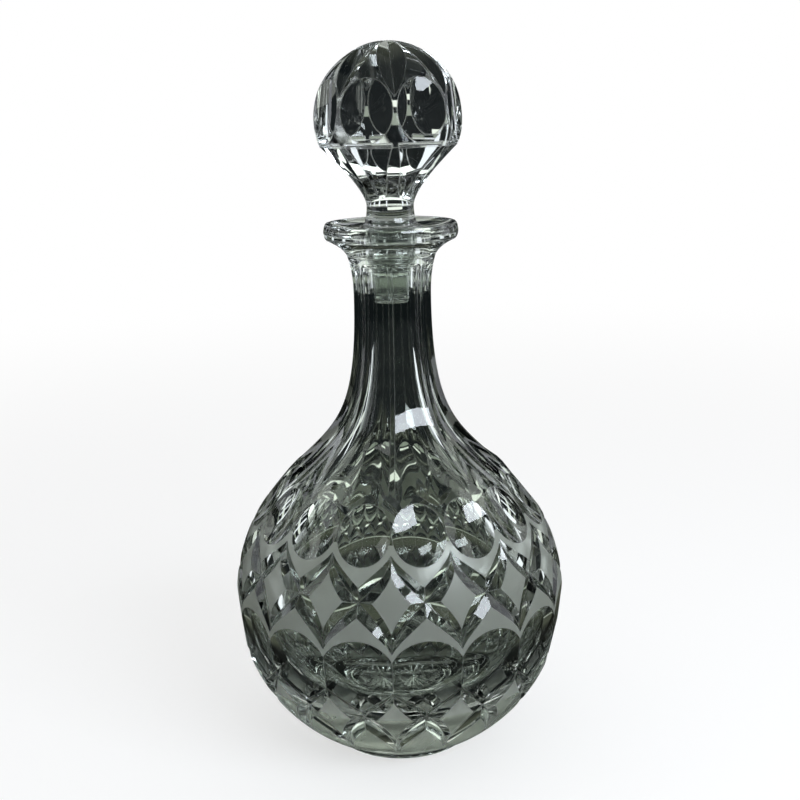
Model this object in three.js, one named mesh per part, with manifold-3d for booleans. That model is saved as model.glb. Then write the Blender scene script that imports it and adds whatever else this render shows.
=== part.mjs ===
// A cut crystal decanter with its stopper, in millimetres, +Z up.
// The origin is the centre of the foot's resting face. The vessel is one hollow glass blank with wheel cuts:
// neck flutes, two rows of hollow ovals, two crossing leaf lattices and a star under the foot. The stopper is a
// solid cut glass finial whose peg sits in a ribbed plastic sleeve, and the sleeve seals the bore of the neck.
import * as THREE from "three";
import { mergeVertices } from "three/addons/utils/BufferGeometryUtils.js";
import Module from "manifold-3d";

const wasm = await Module();
wasm.setup();

// Clearance between two pieces that seat on or pass through each other
const clearance = 0.3;

// Vessel: the glass blank
const footRadius = 28.5;
const heelRadius = 31;
const heelHeight = 3;
const globeRadius = 65.2;
const wallThickness = 5.8;
const baseThickness = 9;
const shoulderRadius = 52;
const shoulderLength = 80;
const shoulderReach = 38;
const neckReach = 58.5;
const neckRadius = 14.7;
const collarRadius = 16.8;
const collarLength = 15.3;
const collarBend = 9.2;
const boreRadius = 9.3;
const boreFlare = 0.6;
const lipRadius = 25.4;
const lipRise = 6;
const lipBendOut = 1.6;
const lipBendRise = 3.3;
const lipEdgeHeight = 6;
const lipEdgeBulge = 0.5;
const lipLandWidth = 1.6;
const lipEdgeRound = 1;
const dishDepth = 2.7;
const dishBend = 0.6;
const seatWidth = 2.2;

// Vessel: the cut pattern, with latitudes on the globe in degrees
const patternUnits = 16;
const fluteCount = 8;
const fluteLandWidth = 1.6;
const fluteHollow = 0.6;
const fluteTopGap = 1.5;
const fluteTopFade = 3;
const fluteFade = 14;
const fluteArch = 3.5;
const fluteOvalGap = 0.6;
const upperOval = { latitude: 38.3, halfWidth: 9.9, above: 11.3, below: 11.3, depth: 2.7 };
const lowerOval = { latitude: -5.3, halfWidth: 14.1, above: 12.6, below: 21.2, depth: 3.1 };
const upperLattice = { top: 32.8, crossing: 17.6, bottom: 1.3, halfWidth: 4.2, depth: 1.9 };
const lowerLattice = { top: -12.2, crossing: -24.9, bottom: -47.9, halfWidth: 4, depth: 1.8 };
const standingRingWidth = 3.2;
const recessDepth = 1;
const starRays = 24;
const starHub = 1.5;
const starHubDepth = 0.35;
const starRimGap = 0.3;
const starRayWaist = 14;
const starRayHalfWidth = 1.35;
const starRayDepth = 1.3;

// Sleeve: the ribbed plastic seal on the stopper's peg
const sleeveWall = 1.2;
const sleeveFloor = 1.5;
const flangeThickness = 1.2;
const ribCount = 5;
const ribHeight = 0.45;
const ribRise = 1.35;
const ribLand = 0.75;
const ribFall = 0.45;
const ribGroove = 0.45;
const ribbedDrop = 1.5;
const sleeveTailLength = 10.3;
const sleeveTailStep = 0.2;
const sleeveEndRound = 1;
const sleeveTaper = 0.5;

// Stopper: the glass finial
const ballRadius = 27.3;
const coneEdgeLatitude = -21;
const shaftRadius = 8.8;
const coneLength = 21.7;
const coneBendOut = 0.6;
const coneBendRise = 6.5;
const shaftLength = 7.3;
const shaftBend = 2.2;
const shaftFootRadius = 10.3;
const pegEndRound = 0.8;
const finialUnits = 8;
const finialOval = { latitude: 6, halfWidth: 10.4, above: 12.8, below: 12.2, depth: 2.3 };
const finialLeaf = { top: 84, bottom: 16, halfWidth: 6.2, depth: 2.4 };
const finialFluteDepth = 1.5;
const finialFluteLandWidth = 1.6;
const finialFluteFade = 9;
const finialRestTurn = -3;

// Wheels: how far each one stands out of the glass, passes its cut's rim and runs out past a flute's end
const cutterHeight = 3;
const ovalOverrun = 1.2;
const leafOverrun = 1.05;
const leafLip = 0.8;
const cutRunout = 0.3;
const pointHalfWidth = 0.05;

// Facets
const weldDistance = 1e-4;
const blankSegments = 32;
const globeSteps = 10;
const shoulderSteps = 8;
const boreSegments = 24;
const sleeveSegments = 24;
const ovalSides = 12;
const ovalRings = 2;
const leafSteps = 4;

const degrees = Math.PI / 180;
const unitAngle = (2 * Math.PI) / patternUnits;
const fluteAngle = (2 * Math.PI) / fluteCount;
const finialAngle = (2 * Math.PI) / finialUnits;

// Radii and heights that follow from the sizes above
const recessRadius = footRadius - standingRingWidth;
const starRadius = recessRadius - recessDepth - starRimGap;
const globeCentreZ = heelHeight + Math.sqrt(globeRadius ** 2 - heelRadius ** 2);
const shoulderZ = globeCentreZ + Math.sqrt(globeRadius ** 2 - shoulderRadius ** 2);
const waistZ = shoulderZ + shoulderLength;
const collarZ = waistZ + collarLength;
const lipUnderZ = collarZ + lipRise;
const lipTopZ = lipUnderZ + lipEdgeHeight;
const seatZ = lipTopZ - dishDepth;
const mouthRadius = boreRadius + boreFlare;
const seatRadius = mouthRadius + seatWidth;
const flangeTopZ = seatZ + clearance + flangeThickness;
const ribPitch = ribRise + ribLand + ribFall + ribGroove;
const ribbedTopZ = seatZ - ribbedDrop;
const ribbedEndZ = ribbedTopZ - ribPitch * ribCount;
const sleeveEndZ = ribbedEndZ - sleeveTailLength;
const pegEndZ = sleeveEndZ + sleeveFloor + clearance;
const shaftFootZ = flangeTopZ + clearance;
const coneFootZ = shaftFootZ + shaftLength;
const coneEdgeRadius = ballRadius * Math.cos(coneEdgeLatitude * degrees);
const ballCentreZ = coneFootZ + coneLength - ballRadius * Math.sin(coneEdgeLatitude * degrees);

// A direction from the vertical axis: angle 0 faces -Y and positive angles turn towards +X
function outward(angle) {
  return new THREE.Vector3(Math.sin(angle), -Math.cos(angle), 0);
}

function point(radius, angle, z) {
  return outward(angle).multiplyScalar(radius).setZ(z);
}

// The merged vertices and triangles of a closed geometry as a solid
function solidOf(geometry) {
  const plain = new THREE.BufferGeometry().setAttribute("position", geometry.getAttribute("position"));
  plain.setIndex(geometry.getIndex());
  const merged = mergeVertices(plain, weldDistance);
  const corners = merged.index.array;
  const kept = [];
  for (let i = 0; i < corners.length; i += 3) {
    const [a, b, c] = [corners[i], corners[i + 1], corners[i + 2]];
    if (a !== b && b !== c && c !== a) kept.push(a, b, c);
  }
  const vertProperties = new Float32Array(merged.attributes.position.array);
  const closed = () => {
    const triVerts = new Uint32Array(kept);
    return new wasm.Manifold(new wasm.Mesh({ numProp: 3, vertProperties, triVerts }));
  };
  const made = closed();
  if (made.volume() >= 0) return made;
  kept.reverse();
  return closed();
}

function geometryOf(solid) {
  const mesh = solid.getMesh();
  const corners = new Float32Array(mesh.numVert * 3);
  for (let i = 0; i < mesh.numVert; i += 1) {
    corners.set(mesh.vertProperties.subarray(i * mesh.numProp, i * mesh.numProp + 3), i * 3);
  }
  const geometry = new THREE.BufferGeometry().setAttribute("position", new THREE.BufferAttribute(corners, 3));
  geometry.setIndex(new THREE.BufferAttribute(mesh.triVerts, 1));
  geometry.computeVertexNormals();
  return geometry;
}

// A profile of [radius, z] points turned about the vertical axis
function turned(profile, segments, startAngle = 0) {
  const lathe = new THREE.LatheGeometry(profile.map(([r, z]) => new THREE.Vector2(r, z)), segments, startAngle);
  return solidOf(lathe.rotateX(Math.PI / 2));
}

// A closed body between two grids of points that share their outline's rows and columns
function slabBetween(columns, rows, inner, outer) {
  const places = [];
  const corners = [];
  for (const surface of [inner, outer]) {
    for (let j = 0; j <= rows; j += 1) {
      for (let i = 0; i <= columns; i += 1) places.push(...surface(i / columns, j / rows).toArray());
    }
  }
  const layer = (columns + 1) * (rows + 1);
  const at = (level, i, j) => level * layer + j * (columns + 1) + i;
  const quad = (a, b, c, d) => corners.push(a, b, c, a, c, d);
  for (let j = 0; j < rows; j += 1) {
    for (let i = 0; i < columns; i += 1) {
      quad(at(0, i, j), at(0, i, j + 1), at(0, i + 1, j + 1), at(0, i + 1, j));
      quad(at(1, i, j), at(1, i + 1, j), at(1, i + 1, j + 1), at(1, i, j + 1));
    }
    quad(at(0, 0, j), at(1, 0, j), at(1, 0, j + 1), at(0, 0, j + 1));
    quad(at(0, columns, j), at(0, columns, j + 1), at(1, columns, j + 1), at(1, columns, j));
  }
  for (let i = 0; i < columns; i += 1) {
    quad(at(0, i, 0), at(0, i + 1, 0), at(1, i + 1, 0), at(1, i, 0));
    quad(at(0, i, rows), at(1, i, rows), at(1, i + 1, rows), at(0, i + 1, rows));
  }
  const geometry = new THREE.BufferGeometry();
  geometry.setAttribute("position", new THREE.BufferAttribute(new Float32Array(places), 3));
  geometry.setIndex(corners);
  return solidOf(geometry);
}

// Copies of a solid turned about the vertical axis, joined into one
function around(solid, count) {
  const copies = [];
  for (let k = 0; k < count; k += 1) copies.push(solid.rotate([0, 0, (360 * k) / count]));
  return wasm.Manifold.union(copies);
}

// A hollow oval ground into a ball: a bowl that leaves the surface on the oval's outline
function ovalCut(radius, centreZ, oval, angle) {
  const profile = [];
  for (let i = 0; i <= ovalRings; i += 1) {
    const across = (ovalOverrun * i) / ovalRings;
    profile.push(new THREE.Vector2(across, oval.depth * (across ** 2 - 1)));
  }
  profile.push(new THREE.Vector2(0, cutterHeight));
  const bowl = new THREE.LatheGeometry(profile, ovalSides).rotateX(Math.PI / 2);
  const latitude = oval.latitude * degrees;
  const normal = outward(angle).multiplyScalar(Math.cos(latitude)).setZ(Math.sin(latitude));
  const side = outward(angle + Math.PI / 2);
  const upward = new THREE.Vector3().crossVectors(normal, side);
  const places = bowl.getAttribute("position");
  for (let i = 0; i < places.count; i += 1) {
    const up = places.getY(i);
    const direction = normal.clone()
      .addScaledVector(side, (places.getX(i) * oval.halfWidth) / radius)
      .addScaledVector(upward, (up * (up > 0 ? oval.above : oval.below)) / radius)
      .setLength(radius + places.getZ(i));
    places.setXYZ(i, direction.x, direction.y, direction.z + centreZ);
  }
  return solidOf(bowl);
}

// A V-shaped wheel cut along a path on a ball: widest in its middle, and out of the glass past both ends.
// path gives [latitude, angle] in radians at a share from -1 to 1 of its length.
function leafCut(radius, centreZ, path, halfWidth, depth) {
  const slope = depth / halfWidth;
  const centre = new THREE.Vector3(0, 0, centreZ);
  const onBall = (share) => {
    const [latitude, angle] = path(share);
    return outward(angle).multiplyScalar(Math.cos(latitude)).setZ(Math.sin(latitude));
  };
  const frameAt = (share) => {
    const normal = onBall(share);
    const along = onBall(share + 0.01).sub(onBall(share - 0.01)).normalize();
    return { normal, side: new THREE.Vector3().crossVectors(normal, along) };
  };
  const placeAt = (share, across, height) => {
    const { normal, side } = frameAt(share);
    return normal.clone().multiplyScalar(radius + height).addScaledVector(side, across).add(centre);
  };
  const half = (share) => Math.max(halfWidth * (1 - share ** 2), pointHalfWidth) + leafLip;
  const inner = (u, v) => {
    const share = leafOverrun * (2 * v - 1);
    const across = (2 * u - 1) * half(share);
    return placeAt(share, across, Math.abs(across) * slope - depth * (1 - share ** 2));
  };
  const outer = (u, v) => {
    const share = leafOverrun * (2 * v - 1);
    return placeAt(share, (2 * u - 1) * half(share), cutterHeight);
  };
  return slabBetween(2, leafSteps, inner, outer);
}

// The two crossing leaves of one unit of a lattice
function latticeCuts(lattice) {
  const bend = (lattice.top + lattice.bottom) / 2 - lattice.crossing;
  const fall = (lattice.bottom - lattice.top) / 2;
  const latitude = (share) => (lattice.crossing + fall * share + bend * share ** 2) * degrees;
  return [1, -1].map((hand) => {
    const path = (share) => [latitude(share), (hand * unitAngle * (3 * share - share ** 3)) / 4];
    return leafCut(globeRadius, globeCentreZ, path, lattice.halfWidth, lattice.depth);
  });
}

// Stations of the blank's outside from the foot to the lip, as [radius, z]
function globeStations() {
  const low = Math.asin((heelHeight - globeCentreZ) / globeRadius);
  const high = Math.asin((shoulderZ - globeCentreZ) / globeRadius);
  const stations = [];
  for (let i = 0; i <= globeSteps; i += 1) {
    const latitude = low + ((high - low) * i) / globeSteps;
    stations.push([globeRadius * Math.cos(latitude), globeCentreZ + globeRadius * Math.sin(latitude)]);
  }
  return stations;
}

function shoulderCurve() {
  const slope = Math.asin((shoulderZ - globeCentreZ) / globeRadius);
  const upGlobe = new THREE.Vector2(-Math.sin(slope), Math.cos(slope));
  const start = new THREE.Vector2(shoulderRadius, shoulderZ);
  const first = start.clone().addScaledVector(upGlobe, shoulderReach);
  const second = new THREE.Vector2(neckRadius, waistZ - neckReach);
  return new THREE.CubicBezierCurve(start, first, second, new THREE.Vector2(neckRadius, waistZ));
}

function collarStations() {
  const start = new THREE.Vector2(neckRadius, waistZ);
  const end = new THREE.Vector2(collarRadius, collarZ);
  const bend = new THREE.Vector2(neckRadius, waistZ + collarBend);
  return new THREE.QuadraticBezierCurve(start, bend, end).getPoints(4).map((p) => [p.x, p.y]);
}

function lipStations() {
  const under = new THREE.QuadraticBezierCurve(
    new THREE.Vector2(collarRadius, collarZ),
    new THREE.Vector2(collarRadius + lipBendOut, collarZ + lipBendRise),
    new THREE.Vector2(lipRadius - lipEdgeRound, lipUnderZ),
  );
  const edge = new THREE.CubicBezierCurve(
    new THREE.Vector2(lipRadius - lipEdgeRound, lipUnderZ),
    new THREE.Vector2(lipRadius + lipEdgeBulge, lipUnderZ + lipEdgeRound + lipEdgeBulge),
    new THREE.Vector2(lipRadius, lipTopZ - lipEdgeRound),
    new THREE.Vector2(lipRadius - lipEdgeRound, lipTopZ),
  );
  return [...under.getPoints(3), ...edge.getPoints(4).slice(1)].map((p) => [p.x, p.y]);
}

const blankOutside = [
  [footRadius, 0],
  ...globeStations(),
  ...shoulderCurve().getPoints(shoulderSteps).slice(1).map((p) => [p.x, p.y]),
  ...collarStations().slice(1),
  ...lipStations().slice(1),
];

// The blank's outside radius at a height, read from its stations
function blankRadius(z) {
  for (let i = 1; i < blankOutside.length; i += 1) {
    const [[r0, z0], [r1, z1]] = [blankOutside[i - 1], blankOutside[i]];
    if (z <= z1) return r0 + ((r1 - r0) * Math.max(z - z0, 0)) / (z1 - z0);
  }
  return lipRadius;
}

function vesselBlank() {
  return turned([[0, 0], ...blankOutside, [0, lipTopZ]], blankSegments, unitAngle / 2);
}

// The space inside: floor, globe, shoulder, bore, seat and the dished mouth
function vesselCavity() {
  const innerRadius = globeRadius - wallThickness;
  const low = Math.asin((baseThickness - globeCentreZ) / innerRadius);
  const high = Math.asin((shoulderZ - globeCentreZ) / globeRadius);
  const profile = [[0, baseThickness]];
  for (let i = 0; i <= globeSteps; i += 1) {
    const latitude = low + ((high - low) * i) / globeSteps;
    profile.push([innerRadius * Math.cos(latitude), globeCentreZ + innerRadius * Math.sin(latitude)]);
  }
  const shoulder = shoulderCurve();
  for (let i = 1; i <= shoulderSteps; i += 1) {
    const share = i / shoulderSteps;
    const wall = wallThickness + (neckRadius - boreRadius - wallThickness) * share;
    const place = shoulder.getPoint(share);
    const along = shoulder.getTangent(share);
    profile.push([place.x - along.y * wall, place.y + along.x * wall]);
  }
  const dishRadius = lipRadius - lipEdgeRound - lipLandWidth;
  profile.push([mouthRadius, seatZ], [seatRadius, seatZ]);
  profile.push([(seatRadius + dishRadius) / 2, seatZ + dishBend], [dishRadius, lipTopZ]);
  profile.push([dishRadius, lipTopZ + cutterHeight], [0, lipTopZ + cutterHeight]);
  return turned(profile, boreSegments);
}

// One hollow flute of the neck, from the collar down to a double arch over the upper ovals.
// Its ends run out through the surface of the blank, and its rows crowd towards the arch.
function fluteCut() {
  const crowding = 1.25;
  const top = collarZ - fluteTopGap;
  const ovalTop = (upperOval.latitude * degrees) + upperOval.above / globeRadius;
  const cuspZ = globeCentreZ + globeRadius * Math.sin(ovalTop) - fluteOvalGap;
  const endAt = (u) => cuspZ + fluteArch * Math.sin(2 * Math.PI * u) ** 2;
  const place = (u, v, lift) => {
    const z = endAt(u) + (top - endAt(u)) * v ** crowding;
    const radius = blankRadius(z);
    const half = fluteAngle / 2 - fluteLandWidth / 2 / radius;
    const angle = half * (2 * u - 1);
    const flat = (radius * Math.cos(half)) / Math.cos(angle);
    const hollow = fluteHollow * (1 - (2 * u - 1) ** 2);
    const share = Math.min((z - endAt(u)) / fluteFade, (top - z) / fluteTopFade, 1);
    const depth = (radius - flat + hollow + cutRunout) * Math.sin((Math.PI / 2) * share) - cutRunout;
    return point(lift ? radius + lift : radius - depth, angle, z);
  };
  return slabBetween(4, 9, (u, v) => place(u, v, 0), (u, v) => place(u, v, cutterHeight));
}

// One ray of the star under the foot, cut up from the floor of the recess
function starRay() {
  const ends = [starHub, starHub + starRayWaist, starRadius];
  const halves = [pointHalfWidth, starRayHalfWidth, pointHalfWidth];
  const depths = [starHubDepth, starRayDepth, pointHalfWidth];
  const place = (u, v, lift) => {
    const i = Math.round(v * 2);
    const across = halves[i] * (2 * u - 1);
    const into = lift ? -lift : depths[i] * (1 - Math.abs(2 * u - 1));
    return new THREE.Vector3(ends[i], across, recessDepth + into);
  };
  return slabBetween(2, 2, (u, v) => place(u, v, 0), (u, v) => place(u, v, recessDepth / 2));
}

function footCuts() {
  const recess = turned([
    [0, -cutterHeight],
    [recessRadius, -cutterHeight],
    [recessRadius, 0],
    [recessRadius - recessDepth, recessDepth],
    [0, recessDepth],
  ], blankSegments);
  return recess.add(around(starRay(), starRays));
}

function vessel() {
  const unitCuts = wasm.Manifold.union([
    ovalCut(globeRadius, globeCentreZ, upperOval, 0),
    ovalCut(globeRadius, globeCentreZ, lowerOval, 0),
    ...latticeCuts(upperLattice),
    ...latticeCuts(lowerLattice),
  ]);
  const flute = fluteCut().rotate([0, 0, 180 / patternUnits]);
  return vesselBlank()
    .subtract(around(unitCuts, patternUnits))
    .subtract(around(flute, fluteCount))
    .subtract(footCuts())
    .subtract(vesselCavity());
}

// The bore's radius at a height, on the flats of its facets
function boreFlat(z) {
  const share = (z - waistZ) / (seatZ - waistZ);
  return (boreRadius + boreFlare * share) * Math.cos(Math.PI / boreSegments);
}

// The sleeve's inside radius at a height: it tapers towards its floor
function sleeveInside(z) {
  const top = boreFlat(collarZ) - clearance - ribHeight - sleeveWall;
  return top - (sleeveTaper * (flangeTopZ - z)) / (flangeTopZ - sleeveEndZ);
}

function sleeve() {
  const flangeRadius = seatRadius - clearance;
  const outside = [];
  for (let i = 0; i < ribCount; i += 1) {
    const z = ribbedEndZ + ribPitch * i;
    const root = sleeveInside(z) + sleeveWall;
    const tip = Math.min(boreFlat(z) - clearance, root + ribHeight);
    const landEndZ = z + ribRise + ribLand;
    outside.push([root, z], [tip, z + ribRise], [tip, landEndZ], [root, landEndZ + ribFall]);
  }
  const tail = (z) => sleeveInside(z) + sleeveWall - sleeveTailStep;
  const innerEndZ = sleeveEndZ + sleeveFloor;
  return turned([
    [0, sleeveEndZ],
    [tail(sleeveEndZ) - sleeveEndRound, sleeveEndZ],
    [tail(sleeveEndZ), sleeveEndZ + sleeveEndRound],
    [tail(ribbedEndZ), ribbedEndZ],
    ...outside,
    [sleeveInside(seatZ) + sleeveWall, ribbedTopZ],
    [sleeveInside(seatZ) + sleeveWall, seatZ + clearance],
    [flangeRadius, seatZ + clearance],
    [flangeRadius, flangeTopZ],
    [sleeveInside(flangeTopZ), flangeTopZ],
    [sleeveInside(innerEndZ), innerEndZ],
    [0, innerEndZ],
  ], sleeveSegments);
}

function stopperBlank() {
  const pegRadius = (z) => sleeveInside(z) * Math.cos(Math.PI / sleeveSegments) - clearance;
  const shaft = new THREE.QuadraticBezierCurve(
    new THREE.Vector2(shaftFootRadius, shaftFootZ),
    new THREE.Vector2(shaftRadius, shaftFootZ + shaftBend),
    new THREE.Vector2(shaftRadius, coneFootZ),
  );
  const cone = new THREE.QuadraticBezierCurve(
    new THREE.Vector2(shaftRadius, coneFootZ),
    new THREE.Vector2(shaftRadius + coneBendOut, coneFootZ + coneBendRise),
    new THREE.Vector2(coneEdgeRadius, coneFootZ + coneLength),
  );
  const profile = [[0, pegEndZ], [pegRadius(pegEndZ) - pegEndRound, pegEndZ]];
  profile.push([pegRadius(pegEndZ), pegEndZ + pegEndRound], [pegRadius(shaftFootZ), shaftFootZ]);
  profile.push(...[...shaft.getPoints(3), ...cone.getPoints(6).slice(1)].map((p) => [p.x, p.y]));
  const steps = 9;
  for (let i = 1; i <= steps; i += 1) {
    const latitude = (coneEdgeLatitude + ((90 - coneEdgeLatitude) * i) / steps) * degrees;
    const radius = i === steps ? 0 : ballRadius * Math.cos(latitude);
    profile.push([radius, ballCentreZ + ballRadius * Math.sin(latitude)]);
  }
  return turned(profile, blankSegments);
}

// One leaf from near the top of the ball down to the corner between two ovals
function finialLeafCut() {
  const middle = (finialLeaf.top + finialLeaf.bottom) / 2;
  const reach = (finialLeaf.bottom - finialLeaf.top) / 2;
  const path = (share) => [(middle + reach * share) * degrees, 0];
  return leafCut(ballRadius, ballCentreZ, path, finialLeaf.halfWidth, finialLeaf.depth);
}

// One hollow flute of the cone under the ball, from just above the shaft to just past the cone's edge
function finialFluteCut() {
  const top = coneFootZ + coneLength + cutterHeight / 2;
  const bottom = coneFootZ + cutRunout;
  const bend = 1.25;
  const meanRadius = (shaftRadius + coneEdgeRadius) / 2;
  const outside = (z) => {
    const share = Math.min(Math.max((z - coneFootZ) / coneLength, 0), 1);
    return shaftRadius + (coneEdgeRadius - shaftRadius) * share ** bend;
  };
  const place = (u, v, lift) => {
    const z = bottom + (top - bottom) * v;
    const radius = outside(z);
    const half = finialAngle / 2 - finialFluteLandWidth / 2 / meanRadius;
    const angle = half * (2 * u - 1);
    const fade = Math.sin((Math.PI / 2) * Math.min((z - bottom) / finialFluteFade, 1));
    const depth = (finialFluteDepth * (1 - (2 * u - 1) ** 2) + cutRunout) * fade - cutRunout;
    return point(lift ? radius + lift : radius - depth, angle, z);
  };
  return slabBetween(4, 5, (u, v) => place(u, v, 0), (u, v) => place(u, v, cutterHeight));
}

function stopper() {
  const ovals = around(ovalCut(ballRadius, ballCentreZ, finialOval, finialAngle / 2), finialUnits);
  const flutes = around(finialFluteCut().rotate([0, 0, 180 / finialUnits]), finialUnits);
  return stopperBlank().subtract(ovals).subtract(around(finialLeafCut(), finialUnits)).subtract(flutes);
}

const crystal = { color: 0x9fb0a8, roughness: 0.04, metalness: 0, transparent: true, opacity: 0.45 };
const sleevePlastic = { color: 0xdfe5de, roughness: 0.35, metalness: 0, transparent: true, opacity: 0.7 };
const vesselMesh = new THREE.Mesh(geometryOf(vessel()), new THREE.MeshStandardMaterial(crystal));
vesselMesh.name = "decanter_vessel";

const sleeveMesh = new THREE.Mesh(geometryOf(sleeve()), new THREE.MeshStandardMaterial(sleevePlastic));
sleeveMesh.name = "stopper_sleeve";

const stopperMesh = new THREE.Mesh(geometryOf(stopper()), new THREE.MeshStandardMaterial(crystal));
stopperMesh.name = "glass_stopper";
stopperMesh.rotation.z = finialRestTurn * degrees;

const decanter = new THREE.Group();
decanter.add(vesselMesh, sleeveMesh, stopperMesh);

export default decanter;
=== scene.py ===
# Crystal decanter with a cut glass stopper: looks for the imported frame.
# Metres, +Z up, and -Y is the photographed side. The sizes of the pieces are in mm and degrees.
import math

import bmesh
import bpy
from mathutils import Matrix, Vector


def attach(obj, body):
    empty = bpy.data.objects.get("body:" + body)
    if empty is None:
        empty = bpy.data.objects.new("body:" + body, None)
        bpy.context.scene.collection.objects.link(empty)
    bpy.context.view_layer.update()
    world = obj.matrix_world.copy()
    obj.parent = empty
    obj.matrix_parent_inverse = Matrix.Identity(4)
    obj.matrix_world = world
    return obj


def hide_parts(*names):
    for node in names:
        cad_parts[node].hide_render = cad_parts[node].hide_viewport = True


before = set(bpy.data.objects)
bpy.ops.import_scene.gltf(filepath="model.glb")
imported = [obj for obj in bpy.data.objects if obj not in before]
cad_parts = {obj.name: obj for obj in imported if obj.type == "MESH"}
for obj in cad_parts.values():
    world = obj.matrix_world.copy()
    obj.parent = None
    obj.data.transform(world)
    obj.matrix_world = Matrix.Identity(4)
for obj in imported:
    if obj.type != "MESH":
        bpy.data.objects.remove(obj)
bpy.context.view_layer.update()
mm = 0.001
fullTurn = 2 * math.pi
spinWeld = 1e-7  # joins the doubles that a spin leaves, in metres
seamWeld = 2e-6  # joins the seams between the repeated wedges
cutterRise = 3  # how far a ball's cutters stand out of it

# the vessel's finishes by slot; while a blank is cut, the third slot marks walls that go again
satinSlot, polishedSlot, starSlot, deepSatinSlot, raySlot = range(5)
wallSlot = starSlot


def outward(angle):
    # level direction from the axis; 0 faces -Y, positive turns towards +X
    return Vector((math.sin(angle), -math.cos(angle), 0))


def arcPoints(radius, centreZ, low, high, steps):
    # [radius, z] places on a ball between two latitudes
    places = []
    for i in range(steps + 1):
        latitude = low + (high - low) * i / steps
        places.append((radius * math.cos(latitude), centreZ + radius * math.sin(latitude)))
    return places


def bezierPoints(corners, steps):
    # curve from the first corner to the last, led by those between
    places = []
    for i in range(steps + 1):
        share = i / steps
        row = [Vector(corner) for corner in corners]
        while len(row) > 1:
            row = [a.lerp(b, share) for a, b in zip(row, row[1:])]
        places.append((row[0].x, row[0].y))
    return places


def newObject(name, bm):
    mesh = bpy.data.meshes.new(name)
    bm.to_mesh(mesh)
    bm.free()
    piece = bpy.data.objects.new(name, mesh)
    bpy.context.scene.collection.objects.link(piece)
    return piece


def spinLine(points, startAngle, sweep, steps):
    # a line of [radius, z] places turned about the axis, open at its two ends
    bm = bmesh.new()
    verts = [bm.verts.new(outward(startAngle) * r * mm + Vector((0, 0, z * mm))) for r, z in points]
    edges = [bm.edges.new(pair) for pair in zip(verts, verts[1:])]
    bmesh.ops.spin(bm, geom=verts + edges, cent=(0, 0, 0), axis=(0, 0, 1), angle=sweep,
                   steps=steps, use_merge=sweep >= fullTurn)
    bmesh.ops.remove_doubles(bm, verts=bm.verts, dist=spinWeld)
    return bm


def spinOutline(points, startAngle, sweep, steps):
    # a closed outline of [radius, z] places turned through a part of the circle, with ends
    bm = bmesh.new()
    verts = [bm.verts.new(outward(startAngle) * r * mm + Vector((0, 0, z * mm))) for r, z in points]
    face = bm.faces.new(verts)
    bmesh.ops.spin(bm, geom=[face] + list(face.edges) + verts, cent=(0, 0, 0), axis=(0, 0, 1),
                   angle=sweep, steps=steps)
    bmesh.ops.remove_doubles(bm, verts=bm.verts, dist=spinWeld)
    bmesh.ops.recalc_face_normals(bm, faces=bm.faces)
    return bm


def asCutter(bm):
    # faces that a cutter leaves in the glass are polished
    bmesh.ops.recalc_face_normals(bm, faces=bm.faces)
    for face in bm.faces:
        face.material_index = polishedSlot
    return bm


def cutterFromSheet(columns, rows, place, lift):
    # a grid laid on the cut's surface by place(across, along), from 0 to 1 each way,
    # then pulled out of the glass by lift(co)
    bm = bmesh.new()
    bmesh.ops.create_grid(bm, x_segments=columns, y_segments=rows, size=0.5)
    for vert in bm.verts:
        vert.co = place(vert.co.x + 0.5, vert.co.y + 0.5)
    raised = bmesh.ops.extrude_face_region(bm, geom=bm.faces[:])["geom"]
    for vert in [item for item in raised if isinstance(item, bmesh.types.BMVert)]:
        vert.co = lift(vert.co)
    return asCutter(bm)


def liftFromBall(centreZ, radius):
    centre = Vector((0, 0, centreZ * mm))
    return lambda co: centre + (co - centre).normalized() * (radius + cutterRise) * mm


def liftFromAxis(rise):
    return lambda co: co + Vector((co.x, co.y, 0)).normalized() * rise * mm


def ovalBowl(radius, centreZ, oval, sides, rings):
    # hollow oval ground into a ball, egg-shaped where above and below differ
    reach = 1.12  # in half widths, because the bowl runs on past its rim
    weld = 1e-6
    bm = bmesh.new()
    verts = []
    for i in range(rings + 1):
        share = reach * i / rings
        verts.append(bm.verts.new((share, 0, oval["depth"] * (share ** 2 - 1))))
    verts += [bm.verts.new((reach, 0, cutterRise)), bm.verts.new((0, 0, cutterRise))]
    edges = [bm.edges.new(pair) for pair in zip(verts, verts[1:])]
    bmesh.ops.spin(bm, geom=verts + edges, cent=(0, 0, 0), axis=(0, 0, 1), angle=fullTurn,
                   steps=sides, use_merge=True)
    bmesh.ops.remove_doubles(bm, verts=bm.verts, dist=weld)
    latitude = math.radians(oval["latitude"])
    normal = outward(0) * math.cos(latitude) + Vector((0, 0, math.sin(latitude)))
    side = Vector((1, 0, 0))
    upward = normal.cross(side)
    for vert in bm.verts:
        tall = oval["above"] if vert.co.y > 0 else oval["below"]
        direction = (normal + side * (vert.co.x * oval["halfWidth"] / radius)
                     + upward * (vert.co.y * tall / radius))
        vert.co = (direction.normalized() * (radius + vert.co.z) + Vector((0, 0, centreZ))) * mm
    return asCutter(bm)


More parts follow.
